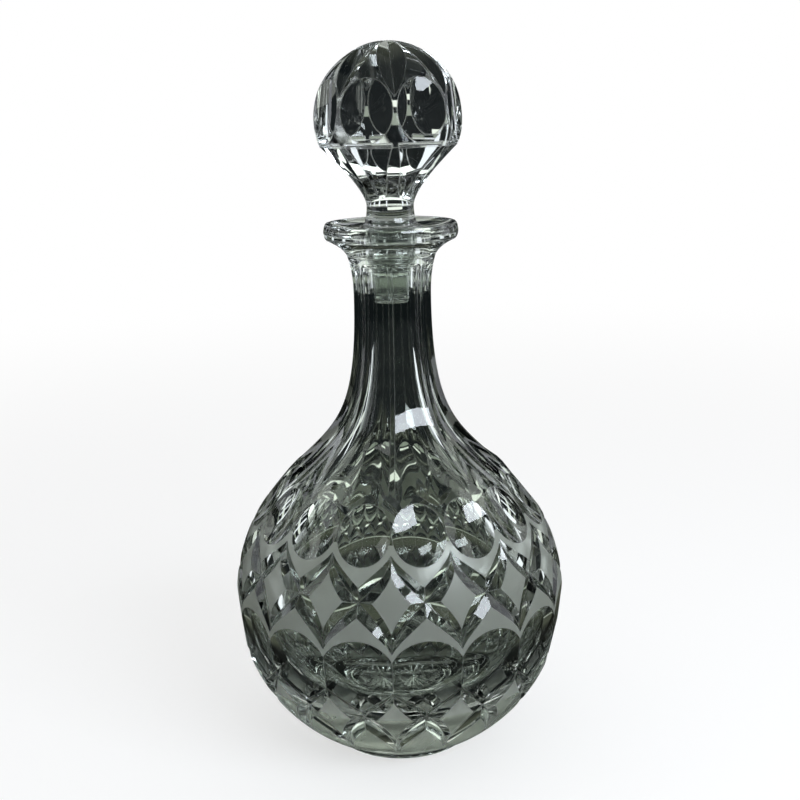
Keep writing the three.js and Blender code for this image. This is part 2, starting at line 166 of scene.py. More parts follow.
def leafGroove(radius, centreZ, path, leaf, columns, rows):
    # V-shaped leaf along path(share), which gives (latitude, angle) for a share from -1 to 1
    overrun = 1.03  # past both tips, so that they end in a point
    nearby = 0.01  # share to the neighbours that give the leaf's direction
    tipHalf = 0.03
    margin = 0.5  # past the leaf's sides, outside the glass
    slope = leaf["depth"] / leaf["halfWidth"]

    def onBall(share):
        latitude, angle = path(share)
        return outward(angle) * math.cos(latitude) + Vector((0, 0, math.sin(latitude)))

    def place(across, along):
        share = overrun * (2 * along - 1)
        normal = onBall(share)
        side = normal.cross(onBall(share + nearby) - onBall(share - nearby)).normalized()
        half = max(leaf["halfWidth"] * (1 - share ** 2), tipHalf) + margin
        aside = (2 * across - 1) * half
        height = abs(aside) * slope - leaf["depth"] * (1 - share ** 2)
        return (normal * (radius + height) + side * aside + Vector((0, 0, centreZ))) * mm

    return cutterFromSheet(columns, rows, place, liftFromBall(centreZ, radius))


def cutAway(blank, cutters):
    # the blank less all cutters; both come as bmeshes and one comes back
    piece = newObject("blank", blank)
    for index in range(wallSlot + 1):
        piece.data.materials.append(bpy.data.materials.new("cut%d" % index))
    tools = []
    for bm in cutters:
        tool = newObject("cutter", bm)
        for material in piece.data.materials:
            tool.data.materials.append(material)
        tool.hide_render = True
        step = piece.modifiers.new("cut", "BOOLEAN")
        step.operation = "DIFFERENCE"
        step.solver = "EXACT"
        step.object = tool
        tools.append(tool)
    bpy.context.view_layer.update()
    evaluated = piece.evaluated_get(bpy.context.evaluated_depsgraph_get())
    result = bmesh.new()
    result.from_mesh(evaluated.to_mesh())
    for item in tools + [piece]:
        mesh = item.data
        bpy.data.objects.remove(item)
        bpy.data.meshes.remove(mesh)
    return result


def openWedge(bm):
    # drops the wedge's own walls, so that its neighbours join on
    sliver = 1e-6
    walls = [face for face in bm.faces if face.material_index == wallSlot]
    bmesh.ops.delete(bm, geom=walls, context="FACES")
    bmesh.ops.remove_doubles(bm, verts=bm.verts, dist=seamWeld)
    bmesh.ops.dissolve_degenerate(bm, edges=bm.edges, dist=sliver)


def mirrorAcross(bm, angle):
    # the wedge and its mirror image in the upright plane at the angle
    turn = Matrix.Rotation(angle, 4, "Z")
    flip = turn @ Matrix.Scale(-1, 4, (1, 0, 0)) @ turn.inverted()
    copy = bmesh.ops.duplicate(bm, geom=bm.verts[:] + bm.edges[:] + bm.faces[:])["geom"]
    copyVerts = [item for item in copy if isinstance(item, bmesh.types.BMVert)]
    copyFaces = [item for item in copy if isinstance(item, bmesh.types.BMFace)]
    bmesh.ops.transform(bm, matrix=flip, verts=copyVerts)
    bmesh.ops.reverse_faces(bm, faces=copyFaces)


def repeatAround(bm, count):
    bmesh.ops.spin(bm, geom=bm.verts[:] + bm.edges[:] + bm.faces[:], cent=(0, 0, 0),
                   axis=(0, 0, 1), angle=fullTurn * (count - 1) / count, steps=count - 1,
                   use_duplicate=True)


def levelReach(centre):
    return math.hypot(centre.x, centre.y)


def finishGlass(piece, sharpAngle):
    piece.data.shade_smooth()
    piece.data.set_sharp_from_angle(angle=math.radians(sharpAngle))


vessel = {
    # foot and globe; the solid base is thick, so the star shows whole through the punties
    "footRadius": 28.5, "ringWidth": 3.2, "recess": 1, "heelRadius": 31, "heelHeight": 3,
    "globeRadius": 65.2, "wall": 5.8, "floorHeight": 25, "floorRadius": 28, "floorBend": 0.55,
    # shoulder, neck and bore
    "shoulderRadius": 52, "shoulderLength": 80, "shoulderReach": 38, "neckReach": 58.5,
    "neckRadius": 14.7, "collarRadius": 16.8, "collarLength": 15.3, "collarBend": 9.2,
    "boreRadius": 9.3, "boreFlare": 0.6,
    # lip, with the dish and the seat of the stopper
    "lipRadius": 25.4, "lipRise": 6, "lipBendOut": 1.6, "lipBendRise": 3.3, "lipEdgeHeight": 6,
    "lipEdgeBulge": 0.5, "lipEdgeRound": 1, "lipLand": 1.6, "dishDepth": 2.7, "dishRise": 0.24,
    "seatWidth": 2.2,
    # neck flutes, ending in double arches over the upper ovals
    "units": 16, "flutes": 8, "fluteLand": 1.6, "fluteHollow": 0.6, "fluteTopGap": 1.5,
    "fluteTopFade": 3, "fluteFade": 14, "fluteArch": 3.5, "fluteOvalGap": 0.6,
    # ovals, punties and the crossing leaves between them
    "upperOval": {"latitude": 38.3, "halfWidth": 9.9, "above": 11.3, "below": 11.3, "depth": 2.7},
    "lowerOval": {"latitude": -5.3, "halfWidth": 14.1, "above": 12.6, "below": 21.2, "depth": 1.8},
    "upperLattice": {"top": 32.8, "crossing": 17.6, "bottom": 1.3, "halfWidth": 4.2, "depth": 1.9},
    "lowerLattice": {"top": -12.2, "crossing": -24.9, "bottom": -47.9, "halfWidth": 4,
                     "depth": 1.8},
    # star under the foot
    "rays": 24, "rayHub": 1.5, "rayHubDepth": 0.35, "rayWaist": 14, "rayHalfWidth": 1.35,
    "rayDepth": 1.3, "rayTip": 0.05, "rayGap": 0.3,
    # heights of the satin ground, which is clearer in its lowest part, and there darker and more
    # olive as painted shade
    "satinFrom": 11, "satinDeepTo": 33.5, "satinTo": 98,
    "columnsPerUnit": 18, "sharpAngle": 10, "inset": 0.998,  # the inset keeps inside the CAD box
}
unitAngle = fullTurn / vessel["units"]
columnsAround = vessel["columnsPerUnit"] * vessel["units"]
globeZ = vessel["heelHeight"] + math.sqrt(vessel["globeRadius"] ** 2 - vessel["heelRadius"] ** 2)
shoulderZ = globeZ + math.sqrt(vessel["globeRadius"] ** 2 - vessel["shoulderRadius"] ** 2)
waistZ = shoulderZ + vessel["shoulderLength"]
collarZ = waistZ + vessel["collarLength"]
lipUnderZ = collarZ + vessel["lipRise"]
lipTopZ = lipUnderZ + vessel["lipEdgeHeight"]
seatZ = lipTopZ - vessel["dishDepth"]
shoulderSlope = math.asin((shoulderZ - globeZ) / vessel["globeRadius"])
ringInner = vessel["footRadius"] - vessel["ringWidth"]
starRadius = ringInner - vessel["recess"]
lipFlat = vessel["lipRadius"] - vessel["lipEdgeRound"]
dishRadius = lipFlat - vessel["lipLand"]


def shoulderPoints(steps):
    start = Vector((vessel["shoulderRadius"], shoulderZ))
    along = Vector((-math.sin(shoulderSlope), math.cos(shoulderSlope)))
    neck = vessel["neckRadius"]
    return bezierPoints([start, start + along * vessel["shoulderReach"],
                         (neck, waistZ - vessel["neckReach"]), (neck, waistZ)], steps)


def vesselOutside():
    # from the foot ring up to the inner edge of the lip
    v = vessel
    globeRows, shoulderRows, bendRows, edgeRows = 74, 44, 8, 10
    low = math.asin((v["heelHeight"] - globeZ) / v["globeRadius"])
    collar = (v["collarRadius"], collarZ)
    lipUnder = (lipFlat, lipUnderZ)
    points = [(ringInner, 0), (v["footRadius"], 0)]
    points += arcPoints(v["globeRadius"], globeZ, low, shoulderSlope, globeRows)
    points += shoulderPoints(shoulderRows)[1:]
    points += bezierPoints([(v["neckRadius"], waistZ), (v["neckRadius"], waistZ + v["collarBend"]),
                            collar], bendRows)[1:]
    points += bezierPoints([collar,
                            (v["collarRadius"] + v["lipBendOut"], collarZ + v["lipBendRise"]),
                            lipUnder], bendRows)[1:]
    points += bezierPoints([lipUnder,
                            (v["lipRadius"] + v["lipEdgeBulge"],
                             lipUnderZ + v["lipEdgeRound"] + v["lipEdgeBulge"]),
                            (v["lipRadius"], lipTopZ - v["lipEdgeRound"]),
                            (lipFlat, lipTopZ)], edgeRows)[1:]
    points.append((dishRadius, lipTopZ))
    return points


outsideLine = vesselOutside()


def outsideRadius(z):
    for (r0, z0), (r1, z1) in zip(outsideLine[1:], outsideLine[2:]):
        if z <= z1:
            return r0 + (r1 - r0) * max(z - z0, 0) / max(z1 - z0, 1e-9)
    return vessel["lipRadius"]


def vesselInside():
    # from the middle of the floor up to the inner edge of the lip
    v = vessel
    floorRows, globeRows, shoulderRows, dishRows = 16, 12, 18, 6
    inner = v["globeRadius"] - v["wall"]
    points = [(0, v["floorHeight"])]
    points += bezierPoints([(v["floorRadius"], v["floorHeight"]),
                            (v["floorRadius"] + (inner - v["floorRadius"]) * v["floorBend"],
                             v["floorHeight"]),
                            (inner, globeZ - (globeZ - v["floorHeight"]) * v["floorBend"]),
                            (inner, globeZ)], floorRows)
    points += arcPoints(inner, globeZ, 0, shoulderSlope, globeRows)[1:]
    line = shoulderPoints(shoulderRows)
    for i in range(1, len(line)):
        share = i / (len(line) - 1)
        wall = v["wall"] + (v["neckRadius"] - v["boreRadius"] - v["wall"]) * share
        along = (Vector(line[min(i + 1, len(line) - 1)]) - Vector(line[i - 1])).normalized()
        points.append((line[i][0] - along.y * wall, line[i][1] + along.x * wall))
    boreTop = v["boreRadius"] + v["boreFlare"]
    seat = boreTop + v["seatWidth"]
    points += [(boreTop, seatZ), (seat, seatZ)]
    points += bezierPoints([(seat, seatZ), ((seat + dishRadius) / 2, seatZ + v["dishRise"]),
                            (dishRadius, lipTopZ)], dishRows)[1:]
    return points


def latticePaths(lattice):
    # two mirrored S-curves that cross in the middle of a unit
    bend = (lattice["top"] + lattice["bottom"]) / 2 - lattice["crossing"]
    fall = (lattice["bottom"] - lattice["top"]) / 2
    return [lambda share, hand=hand: (math.radians(lattice["crossing"] + fall * share
                                                   + bend * share * share),
                                      hand * unitAngle * (3 * share - share ** 3) / 4)
            for hand in (1, -1)]


def fluteCutter():
    # a nearly flat panel down the neck that fades out before the collar
    crowding = 1.25  # rows stand closer together near the arches
    clear = 0.3  # where a flute has faded out, its cutter stands this far off
    rise, columns, rows = 8, 40, 56
    oval = vessel["upperOval"]
    top = collarZ - vessel["fluteTopGap"]
    ovalTop = math.radians(oval["latitude"]) + oval["above"] / vessel["globeRadius"]
    cuspZ = globeZ + vessel["globeRadius"] * math.sin(ovalTop) - vessel["fluteOvalGap"]

    def place(across, along):
        endZ = cuspZ + vessel["fluteArch"] * math.sin(fullTurn * across) ** 2
        z = endZ + (top - endZ) * along ** crowding
        radius = outsideRadius(z)
        half = fullTurn / vessel["flutes"] / 2 - vessel["fluteLand"] / 2 / radius
        angle = half * (2 * across - 1)
        flat = radius * math.cos(half) / math.cos(angle)
        hollow = vessel["fluteHollow"] * (1 - (2 * across - 1) ** 2)
        fade = min((z - endZ) / vessel["fluteFade"], (top - z) / vessel["fluteTopFade"], 1)
        depth = (radius - flat + hollow + clear) * math.sin(math.pi / 2 * fade) - clear
        return (outward(angle + unitAngle / 2) * (radius - depth) + Vector((0, 0, z))) * mm

    return cutterFromSheet(columns, rows, place, liftFromAxis(rise))


def rayCutter():
    # one V from the hub to the foot ring, widest and deepest at its waist
    v = vessel
    bottom = -2
    reaches = [v["rayHub"], v["rayHub"] + v["rayWaist"], starRadius - v["rayGap"]]
    halfWidths = [v["rayTip"], v["rayHalfWidth"], v["rayTip"]]
    depths = [v["rayHubDepth"], v["rayDepth"], v["rayTip"]]

    def place(across, along):
        i = round(along * 2)
        into = depths[i] * (1 - abs(2 * across - 1))
        aside = Vector((halfWidths[i] * (2 * across - 1), 0, v["recess"] + into))
        return (outward(0) * reaches[i] + aside) * mm

    return cutterFromSheet(2, 2, place, lambda co: Vector((co.x, co.y, bottom * mm)))


def cutOutside():
    # one unit of the blank as a solid wedge with its wheel cuts, mirrored and set round the axis
    v = vessel
    coreRadius, edgeGap = 4, 1
    ovalSheet, puntySheet, leafSheet = (64, 9), (72, 11), (6, 44)
    wedge = spinOutline([(coreRadius, 0)] + outsideLine + [(coreRadius, lipTopZ)],
                        -unitAngle / 2, unitAngle, v["columnsPerUnit"])
    for face in wedge.faces:
        centre = face.calc_center_median() / mm
        reach = levelReach(centre)
        under = reach < ringInner - edgeGap and centre.z < edgeGap
        over = reach < dishRadius - edgeGap and centre.z > lipTopZ - edgeGap / 2
        if len(face.verts) > 4 or under or over or reach < coreRadius + 2 * edgeGap:
            face.material_index = wallSlot
        elif v["satinFrom"] < centre.z < v["satinTo"]:
            # below satinDeepTo the satin is clearer, and painted darker as shade
            face.material_index = deepSatinSlot if centre.z < v["satinDeepTo"] else satinSlot
        else:
            face.material_index = polishedSlot
    cutters = [ovalBowl(v["globeRadius"], globeZ, v["upperOval"], *ovalSheet),
               ovalBowl(v["globeRadius"], globeZ, v["lowerOval"], *puntySheet)]
    for lattice in (v["upperLattice"], v["lowerLattice"]):
        for path in latticePaths(lattice):
            cutters.append(leafGroove(v["globeRadius"], globeZ, path, lattice, *leafSheet))
    cutters.append(fluteCutter())
    outside = cutAway(wedge, cutters)
    openWedge(outside)
    mirrorAcross(outside, unitAngle / 2)
    repeatAround(outside, v["flutes"])
    return outside


def cutStar():
    # the recessed star under the foot, one ray at a time
    v = vessel
    coreRadius, blankTop = 0.4, 6
    groundLean = 0.97  # a face whose normal is less upright than this is the side of a ray
    rayAngle = fullTurn / v["rays"]
    sector = spinOutline([(coreRadius, v["recess"]), (starRadius, v["recess"]), (ringInner, 0),
                          (ringInner, blankTop), (coreRadius, blankTop)],
                         -rayAngle / 2, rayAngle, columnsAround // v["rays"])
    for face in sector.faces:
        ground = face.calc_center_median().z / mm < v["recess"] + 0.1 and len(face.verts) == 4
        face.material_index = polishedSlot if ground else wallSlot
    star = cutAway(sector, [rayCutter()])
    openWedge(star)
    repeatAround(star, v["rays"])
    star.normal_update()
    for face in star.faces:
        within = face.calc_center_median().length / mm < starRadius - 0.2
        inRay = within and abs(face.normal.z) < groundLean
        face.material_index = raySlot if inRay else starSlot
    return star


def buildVessel():
    outside, star = cutOutside(), cutStar()
    inside = spinLine(vesselInside(), 0, fullTurn, columnsAround)
    for face in inside.faces:
        face.material_index = starSlot
    whole = bmesh.new()
    for bm in (outside, star, inside):
        mesh = bpy.data.meshes.new("part")
        bm.to_mesh(mesh)
        bm.free()
        whole.from_mesh(mesh)
        bpy.data.meshes.remove(mesh)
    bmesh.ops.remove_doubles(whole, verts=whole.verts, dist=seamWeld)
    hub = [edge for edge in whole.edges
           if edge.is_boundary and edge.verts[0].co.xy.length < vessel["rayHub"] * mm]
    bmesh.ops.holes_fill(whole, edges=hub, sides=0)
    bmesh.ops.recalc_face_normals(whole, faces=whole.faces)
    bmesh.ops.scale(whole, vec=(vessel["inset"], vessel["inset"], 1), verts=whole.verts)
    piece = newObject("cutVessel", whole)
    finishGlass(piece, vessel["sharpAngle"])
    return piece


cutVessel = buildVessel()
print("vessel", len(cutVessel.data.polygons))

stopper = {
    "ballRadius": 27.3, "coneEdge": -21, "coneLength": 21.7, "coneBendOut": 0.6,
    "coneBendRise": 6.5, "shaftRadius": 8.8, "shaftLength": 7.3, "shaftBend": 2.2,
    "shaftFootRadius": 10.3, "pegEndRound": 0.8, "turn": -3,
    "units": 8, "fluteDepth": 1.5, "fluteLand": 1.6, "fluteFade": 9,
    "oval": {"latitude": 6, "halfWidth": 10.4, "above": 12.8, "below": 12.2, "depth": 2.3},
    "leaf": {"top": 84, "bottom": 16, "halfWidth": 6.2, "depth": 2.4},
    "columnsPerHalf": 18, "sharpAngle": 10,
}
sleeve = {
    "gap": 0.3, "wall": 1.2, "floor": 1.5, "flange": 1.2, "flangeRound": 0.3, "ribs": 5,
    "ribHeight": 0.45, "ribRise": 1.35, "ribLand": 0.75, "ribFall": 0.45, "ribGroove": 0.45,
    "drop": 1.5, "tail": 10.3, "tailStep": 0.2, "endRound": 1, "taper": 0.5,
    "columns": 96, "sharpAngle": 30,
}
roundFit = 0.991  # a round part keeps clear of the flats of the solid bore round it
gap = sleeve["gap"]
flangeTopZ = seatZ + gap + sleeve["flange"]
ribPitch = sleeve["ribRise"] + sleeve["ribLand"] + sleeve["ribFall"] + sleeve["ribGroove"]
ribbedTopZ = seatZ - sleeve["drop"]
ribbedEndZ = ribbedTopZ - ribPitch * sleeve["ribs"]
sleeveEndZ = ribbedEndZ - sleeve["tail"]
pegEndZ = sleeveEndZ + sleeve["floor"] + gap
shaftFootZ = flangeTopZ + gap
coneFootZ = shaftFootZ + stopper["shaftLength"]
coneEdge = math.radians(stopper["coneEdge"])
coneEdgeRadius = stopper["ballRadius"] * math.cos(coneEdge)
ballZ = coneFootZ + stopper["coneLength"] - stopper["ballRadius"] * math.sin(coneEdge)
halfUnit = math.pi / stopper["units"]


def boreRadiusAt(z):
    return vessel["boreRadius"] + vessel["boreFlare"] * (z - waistZ) / (seatZ - waistZ)


def sleeveInside(z):
    top = boreRadiusAt(collarZ) * roundFit - gap - sleeve["ribHeight"] - sleeve["wall"]
    return top - sleeve["taper"] * (flangeTopZ - z) / (flangeTopZ - sleeveEndZ)


def pegRadius(z):
    return sleeveInside(z) * roundFit - gap


def coneFlute():
    # one hollow up the cone, from the shaft to just past the girdle
    crowding = 1.25
    clear = 0.3
    rise, columns, rows = 6, 28, 40
    top = coneFootZ + stopper["coneLength"] + 1.5
    bottom = coneFootZ + clear
    meanRadius = (stopper["shaftRadius"] + coneEdgeRadius) / 2

    def place(across, along):
        z = bottom + (top - bottom) * along
        share = min(max((z - coneFootZ) / stopper["coneLength"], 0), 1)
        widening = (coneEdgeRadius - stopper["shaftRadius"]) * share ** crowding
        radius = stopper["shaftRadius"] + widening
        half = halfUnit - stopper["fluteLand"] / 2 / meanRadius
        angle = half * (2 * across - 1)
        fade = math.sin(math.pi / 2 * min((z - bottom) / stopper["fluteFade"], 1))
        hollow = stopper["fluteDepth"] * (1 - (2 * across - 1) ** 2)
        depth = (hollow + clear) * fade - clear
        return (outward(angle + halfUnit) * (radius - depth) + Vector((0, 0, z))) * mm

    return cutterFromSheet(columns, rows, place, liftFromAxis(rise))


def leafPath(share):
    # straight down the ball, from near the crown to above the girdle
    middle = (stopper["leaf"]["top"] + stopper["leaf"]["bottom"]) / 2
    fall = (stopper["leaf"]["bottom"] - stopper["leaf"]["top"]) / 2
    return math.radians(middle + fall * share), 0


def turned(bm, angle):
    bmesh.ops.rotate(bm, cent=(0, 0, 0), matrix=Matrix.Rotation(angle, 3, "Z"), verts=bm.verts)
    return bm


def buildStopper():
    s = stopper
    coreRadius = 0.3
    crown = math.radians(89.4)
    shaftRows, coneRows, ballRows = 8, 16, 44
    ovalSheet, leafSheet = (80, 12), (8, 40)
    shaft = (s["shaftRadius"], coneFootZ)
    points = [(coreRadius, pegEndZ), (pegRadius(pegEndZ) - s["pegEndRound"], pegEndZ),
              (pegRadius(pegEndZ), pegEndZ + s["pegEndRound"]), (pegRadius(shaftFootZ), shaftFootZ)]
    points += bezierPoints([(s["shaftFootRadius"], shaftFootZ),
                            (s["shaftRadius"], shaftFootZ + s["shaftBend"]), shaft], shaftRows)
    points += bezierPoints([shaft,
                            (s["shaftRadius"] + s["coneBendOut"], coneFootZ + s["coneBendRise"]),
                            (coneEdgeRadius, coneFootZ + s["coneLength"])], coneRows)[1:]
    points += arcPoints(s["ballRadius"], ballZ, coneEdge, crown, ballRows)[1:]
    points.append((coreRadius, ballZ + s["ballRadius"]))
    wedge = spinOutline(points, 0, halfUnit, s["columnsPerHalf"])
    for face in wedge.faces:
        centre = face.calc_center_median() / mm
        core = levelReach(centre) < coreRadius + 0.01
        core = core and pegEndZ + 1 < centre.z < ballZ + s["ballRadius"] - 1
        face.material_index = wallSlot if core or len(face.verts) > 4 else polishedSlot
    cutters = [turned(ovalBowl(s["ballRadius"], ballZ, s["oval"], *ovalSheet), halfUnit),
               leafGroove(s["ballRadius"], ballZ, leafPath, s["leaf"], *leafSheet),
               coneFlute()]
    cut = cutAway(wedge, cutters)
    openWedge(cut)
    mirrorAcross(cut, halfUnit)
    repeatAround(cut, s["units"])
    turned(cut, math.radians(s["turn"]))
    bmesh.ops.remove_doubles(cut, verts=cut.verts, dist=seamWeld)
    bmesh.ops.holes_fill(cut, edges=cut.edges, sides=0)
    bmesh.ops.recalc_face_normals(cut, faces=cut.faces)
    for face in cut.faces:
        face.material_index = 0
    piece = newObject("cutStopper", cut)
    finishGlass(piece, s["sharpAngle"])
    return piece


cutStopper = buildStopper()
print("stopper", len(cutStopper.data.polygons))


def buildSleeve():
    f = sleeve
    chamfer = 0.2
    endRows = 5

    def tail(z):
        return sleeveInside(z) + f["wall"] - f["tailStep"]

    end = tail(sleeveEndZ)
    points = [(0, sleeveEndZ), (end - f["endRound"], sleeveEndZ)]
    points += bezierPoints([(end - f["endRound"], sleeveEndZ), (end, sleeveEndZ),
                            (end, sleeveEndZ + f["endRound"])], endRows)[1:]
    points.append((tail(ribbedEndZ), ribbedEndZ))
    for i in range(f["ribs"]):
        z = ribbedEndZ + ribPitch * i
        root = sleeveInside(z) + f["wall"]
        tip = min(boreRadiusAt(z) * roundFit - gap, root + f["ribHeight"])
        landEnd = z + f["ribRise"] + f["ribLand"]
        points += [(root, z), (tip, z + f["ribRise"]), (tip, landEnd),
                   (root, landEnd + f["ribFall"])]
    neck = sleeveInside(seatZ) + f["wall"]
    flange = vessel["boreRadius"] + vessel["boreFlare"] + vessel["seatWidth"] - gap
    innerEnd = sleeveEndZ + f["floor"]
    points += [(neck, ribbedTopZ), (neck, seatZ + gap), (flange - chamfer, seatZ + gap),
               (flange, seatZ + gap + chamfer), (flange, flangeTopZ - f["flangeRound"]),
               (flange - f["flangeRound"], flangeTopZ), (sleeveInside(flangeTopZ), flangeTopZ),
               (sleeveInside(innerEnd), innerEnd), (0, innerEnd)]
    bm = spinLine(points, 0, fullTurn, f["columns"])
    bmesh.ops.recalc_face_normals(bm, faces=bm.faces)
    piece = newObject("ribbedSleeve", bm)
    finishGlass(piece, f["sharpAngle"])
    return piece


ribbedSleeve = buildSleeve()
print("sleeve", len(ribbedSleeve.data.polygons))


def addNode(tree, kind, **settings):
    node = tree.nodes.new(kind)
    for key, value in settings.items():
        setattr(node, key, value)
    return node


def newGroup(name, inputs, outputs):
    # a node group with its named sockets; every material sets its own values
    group = bpy.data.node_groups.new(name, "ShaderNodeTree")
    for direction, sockets in (("INPUT", inputs), ("OUTPUT", outputs)):
        for socketName, kind in sockets:
            group.interface.new_socket(name=socketName, in_out=direction,
                                       socket_type="NodeSocket" + kind)
    return group, addNode(group, "NodeGroupInput"), addNode(group, "NodeGroupOutput")


rippleInputs = ("Edge", "Wave Scale", "Wave Height", "Grain Scale", "Grain Height")
hazeInputs = ("Scale", "Low", "High")


def rippleGroup():
    # rounded arrises, slow waviness of hand-finished glass and fine grain, as one normal
    group, source, sink = newGroup("glassRipple", [(name, "Float") for name in rippleInputs],
                                   [("Normal", "Vector"), ("Arris", "Float")])
    place = addNode(group, "ShaderNodeTexCoord")
    bump = addNode(group, "ShaderNodeBevel", samples=4)
    group.links.new(source.outputs["Edge"], bump.inputs["Radius"])
    # how far the rounded normal leans from the plain one marks the arrises between cuts
    flat = addNode(group, "ShaderNodeNewGeometry")
    lean = addNode(group, "ShaderNodeVectorMath", operation="DOT_PRODUCT")
    group.links.new(bump.outputs["Normal"], lean.inputs[0])
    group.links.new(flat.outputs["Normal"], lean.inputs[1])
    size = addNode(group, "ShaderNodeMath", operation="ABSOLUTE")
    group.links.new(lean.outputs["Value"], size.inputs[0])
    mask = addNode(group, "ShaderNodeMapRange")
    mask.inputs["From Min"].default_value = 0.9992
    mask.inputs["From Max"].default_value = 0.995
    group.links.new(size.outputs["Value"], mask.inputs["Value"])
    group.links.new(mask.outputs["Result"], sink.inputs["Arris"])
    for layer, detail in (("Wave", 2), ("Grain", 4)):
        noise = addNode(group, "ShaderNodeTexNoise")
        noise.inputs["Detail"].default_value = detail
        group.links.new(place.outputs["Object"], noise.inputs["Vector"])
        group.links.new(source.outputs[layer + " Scale"], noise.inputs["Scale"])
        lift = addNode(group, "ShaderNodeBump")
        group.links.new(source.outputs[layer + " Height"], lift.inputs["Distance"])
        group.links.new(noise.outputs["Fac"], lift.inputs["Height"])
        group.links.new(bump.outputs["Normal"], lift.inputs["Normal"])
        bump = lift
    group.links.new(bump.outputs["Normal"], sink.inputs["Normal"])
    return group


def hazeGroup():
    # uneven roughness: a low value everywhere, with cloudy patches up to a higher one
    group, source, sink = newGroup("surfaceHaze", [(name, "Float") for name in hazeInputs],
                                   [("Roughness", "Float")])
    place = addNode(group, "ShaderNodeTexCoord")
    noise = addNode(group, "ShaderNodeTexNoise")
    noise.inputs["Detail"].default_value = 5
    patches = addNode(group, "ShaderNodeMapRange")
    patches.inputs["From Min"].default_value = 0.35
    patches.inputs["From Max"].default_value = 0.7
    group.links.new(place.outputs["Object"], noise.inputs["Vector"])
    group.links.new(source.outputs["Scale"], noise.inputs["Scale"])
    group.links.new(noise.outputs["Fac"], patches.inputs["Value"])
    group.links.new(source.outputs["Low"], patches.inputs["To Min"])
    group.links.new(source.outputs["High"], patches.inputs["To Max"])
    group.links.new(patches.outputs["Result"], sink.inputs["Roughness"])
    return group


def arrisGroup():
    # arrises catch the light: the paler colour on them is a painted highlight, and they are rougher
    # than the cuts beside them
    group, source, sink = newGroup(
        "arrisPaintedHighlight",
        [("Arris", "Float"), ("Color", "Color"), ("Arris Highlight Color", "Color"), ("Roughness", "Float"),
         ("Arris Roughness", "Float")],
        [("Color", "Color"), ("Roughness", "Float")])
    # the paler colour mixed in on the arrises is a painted highlight
    tint = addNode(group, "ShaderNodeMix", data_type="RGBA")
    # a Mix node's colour sockets share their names with others, so they go by number
    group.links.new(source.outputs["Arris"], tint.inputs[0])
    group.links.new(source.outputs["Color"], tint.inputs[6])
    group.links.new(source.outputs["Arris Highlight Color"], tint.inputs[7])
    group.links.new(tint.outputs[2], sink.inputs["Color"])
    worn = addNode(group, "ShaderNodeMath", operation="MULTIPLY")
    group.links.new(source.outputs["Arris"], worn.inputs[0])
    group.links.new(source.outputs["Arris Roughness"], worn.inputs[1])
    rougher = addNode(group, "ShaderNodeMath", operation="MAXIMUM")
    group.links.new(worn.outputs["Value"], rougher.inputs[0])
    group.links.new(source.outputs["Roughness"], rougher.inputs[1])
    group.links.new(rougher.outputs["Value"], sink.inputs["Roughness"])
    return group


ripple = rippleGroup()
haze = hazeGroup()
arris = arrisGroup()


def glassMaterial(name, look):
    material = bpy.data.materials.new(name)
    material.use_nodes = True
    tree = material.node_tree
    shader = tree.nodes["Principled BSDF"]
    shader.inputs["IOR"].default_value = look["ior"]
    shader.inputs["Transmission Weight"].default_value = look["transmission"]
    waves = addNode(tree, "ShaderNodeGroup", node_tree=ripple)
    for key in rippleInputs:
        waves.inputs[key].default_value = look[key]
    tree.links.new(waves.outputs["Normal"], shader.inputs["Normal"])
    clouds = addNode(tree, "ShaderNodeGroup", node_tree=haze)
    for key in hazeInputs:
        clouds.inputs[key].default_value = look[key]
    edges = addNode(tree, "ShaderNodeGroup", node_tree=arris)
    # the arris colour, paler than the glass, paints a highlight along the edges
    for key in ("Color", "Arris Highlight Color"):
        edges.inputs[key].default_value = (*look[key], 1)
    edges.inputs["Arris Roughness"].default_value = look["Arris Roughness"]
    tree.links.new(waves.outputs["Arris"], edges.inputs["Arris"])
    tree.links.new(clouds.outputs["Roughness"], edges.inputs["Roughness"])
    tree.links.new(edges.outputs["Color"], shader.inputs["Base Color"])
    tree.links.new(edges.outputs["Roughness"], shader.inputs["Roughness"])
    return material


# finishes of the vessel, then of the stopper and its sleeve; a key with a capital names a
# socket of the groups above, and Edge and the heights are in metres
# in each finish the paler arris colour is a painted highlight on the edges
polishedLook = {
    "Color": (0.86, 0.9, 0.86), "Arris Highlight Color": (1, 1, 1), "Arris Roughness": 0.5,
    "ior": 1.54, "transmission": 1, "Edge": 0.0005, "Wave Scale": 60, "Wave Height": 0.00002,
    "Grain Scale": 900, "Grain Height": 0, "Scale": 35, "Low": 0.0, "High": 0.01,
}
satinLook = {
    "Color": (0.75, 0.8, 0.72), "Arris Highlight Color": (0.92, 0.95, 0.9), "Arris Roughness": 0.5,
    "ior": 1.54, "transmission": 0.84, "Edge": 0.0004, "Wave Scale": 70, "Wave Height": 0.00005,
    "Grain Scale": 2600, "Grain Height": 0.00001, "Scale": 28, "Low": 0.34, "High": 0.52,
}
# the lowest satin is clearer, and its darker olive colour is painted shade
deepSatinLook = dict(satinLook, Color=(0.68, 0.75, 0.62), transmission=0.9, Low=0.18, High=0.36)
starLook = dict(polishedLook, Edge=0)
rayLook = dict(starLook, Color=(1, 1, 1), Low=0.22, High=0.3)
stopperLook = {
    "Color": (0.9, 0.93, 0.91), "Arris Highlight Color": (1, 1, 1), "Arris Roughness": 0.5,
    "ior": 1.54, "transmission": 1, "Edge": 0.0006, "Wave Scale": 90, "Wave Height": 0.00002,
    "Grain Scale": 900, "Grain Height": 0, "Scale": 50, "Low": 0.0, "High": 0.02,
}
sleeveLook = {
    "Color": (0.97, 0.98, 0.96), "Arris Highlight Color": (1, 1, 1), "Arris Roughness": 0.5,
    "ior": 1.49, "transmission": 0.94, "Edge": 0.0001, "Wave Scale": 200, "Wave Height": 0.00003,
    "Grain Scale": 3000, "Grain Height": 0.000004, "Scale": 150, "Low": 0.02, "High": 0.14,
}

